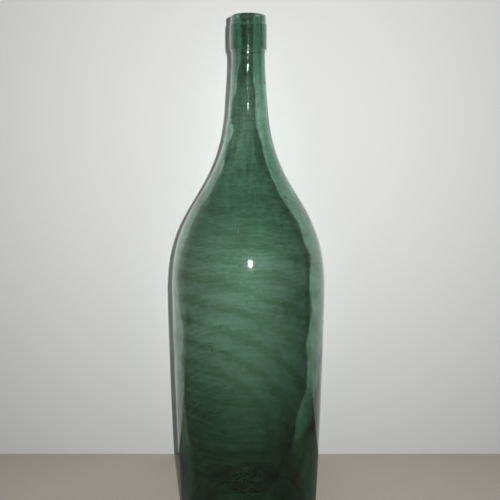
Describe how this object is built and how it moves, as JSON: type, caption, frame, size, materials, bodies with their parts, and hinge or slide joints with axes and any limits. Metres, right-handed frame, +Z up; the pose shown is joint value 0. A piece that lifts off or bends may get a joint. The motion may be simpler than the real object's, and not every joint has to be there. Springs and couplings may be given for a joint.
{
  "type": "glass carboy",
  "caption": "Tall hand-blown green glass carboy: long tapering neck with a laid-on collar, sloping shoulder, slim body, deep push-up base and an open mouth.",
  "frame": {"origin": "centre of the base, at the height of the surface that the carboy stands on", "axes": "+Z up along the bottle's axis, towards the mouth; X and Y are alike, because it is round"},
  "size_m": [0.1559, 0.156, 0.521],
  "materials": {
    "green_glass": "fire-polished blown soda-lime glass, sea green, wavy inside, with a few seeds"
  },
  "bodies": {
    "root": {"bottle_body": "green_glass", "lip_collar": "green_glass", "pontil_scar": "green_glass"}
  },
  "joints": []
}
